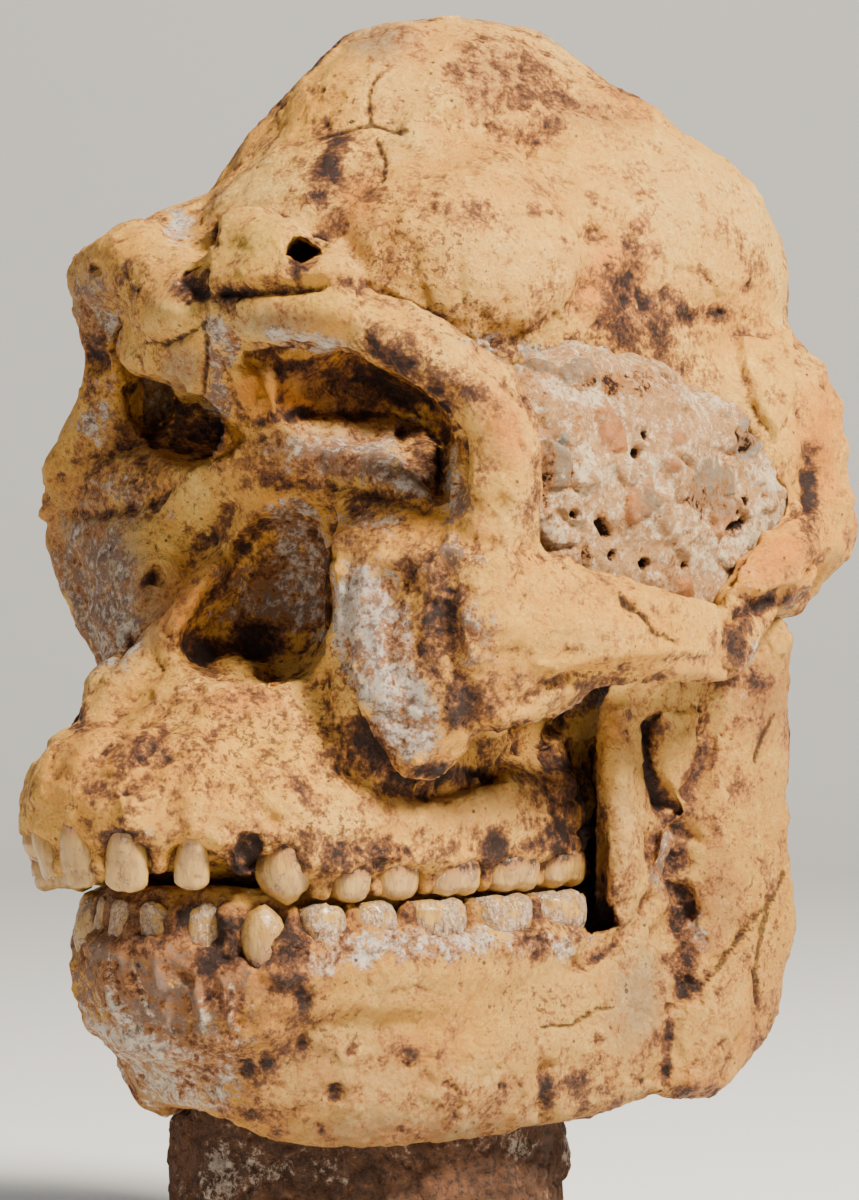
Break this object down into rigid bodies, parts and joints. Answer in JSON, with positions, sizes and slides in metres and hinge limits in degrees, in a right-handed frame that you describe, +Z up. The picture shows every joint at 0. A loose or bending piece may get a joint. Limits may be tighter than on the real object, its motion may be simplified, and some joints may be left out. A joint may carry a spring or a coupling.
{
  "type": "fossil hominin skull on a stand",
  "caption": "Crushed fossil hominin skull with closed jaw and worn teeth, rock still filling its temples, set on a rough cast stand with a flat foot.",
  "frame": {"origin": "centre of the stand's flat foot, on the surface it rests on", "axes": "+Z up, -Y the way the face looks, +X the skull's own left side"},
  "size_m": [0.1293, 0.1763, 0.2339],
  "materials": {
    "fossil_bone": "mineralised bone, satin, with iron-brown stains in cracks and pores",
    "jaw_bone": "paler mineralised bone, satin, blotched with brown",
    "enamel": "worn enamel, glossy olive cream",
    "breccia": "rough matt cave breccia, pink and grey",
    "stand": "rough matt cast, brown with white crust"
  },
  "bodies": {
    "root": {"cranium": "fossil_bone", "jaw": "jaw_bone", "breccia_left_temple": "breccia", "breccia_right_temple": "breccia", "stand": "stand", "upper_left_incisor_1": "enamel", "upper_left_incisor_2": "enamel", "upper_left_canine": "enamel", "upper_left_premolar_1": "enamel", "upper_left_premolar_2": "enamel", "upper_left_molar_1": "enamel", "upper_left_molar_2": "enamel", "upper_left_molar_3": "enamel", "upper_right_incisor_1": "enamel", "upper_right_incisor_2": "enamel", "upper_right_canine": "enamel", "upper_right_premolar_1": "enamel", "upper_right_premolar_2": "enamel", "upper_right_molar_1": "enamel", "upper_right_molar_2": "enamel", "upper_right_molar_3": "enamel", "lower_left_incisor_1": "enamel", "lower_left_incisor_2": "enamel", "lower_left_canine": "enamel", "lower_left_premolar_1": "enamel", "lower_left_premolar_2": "enamel", "lower_left_molar_1": "enamel", "lower_left_molar_2": "enamel", "lower_left_molar_3": "enamel", "lower_right_incisor_1": "enamel", "lower_right_incisor_2": "enamel", "lower_right_canine": "enamel", "lower_right_premolar_1": "enamel", "lower_right_premolar_2": "enamel", "lower_right_molar_1": "enamel", "lower_right_molar_2": "enamel", "lower_right_molar_3": "enamel"}
  },
  "joints": []
}
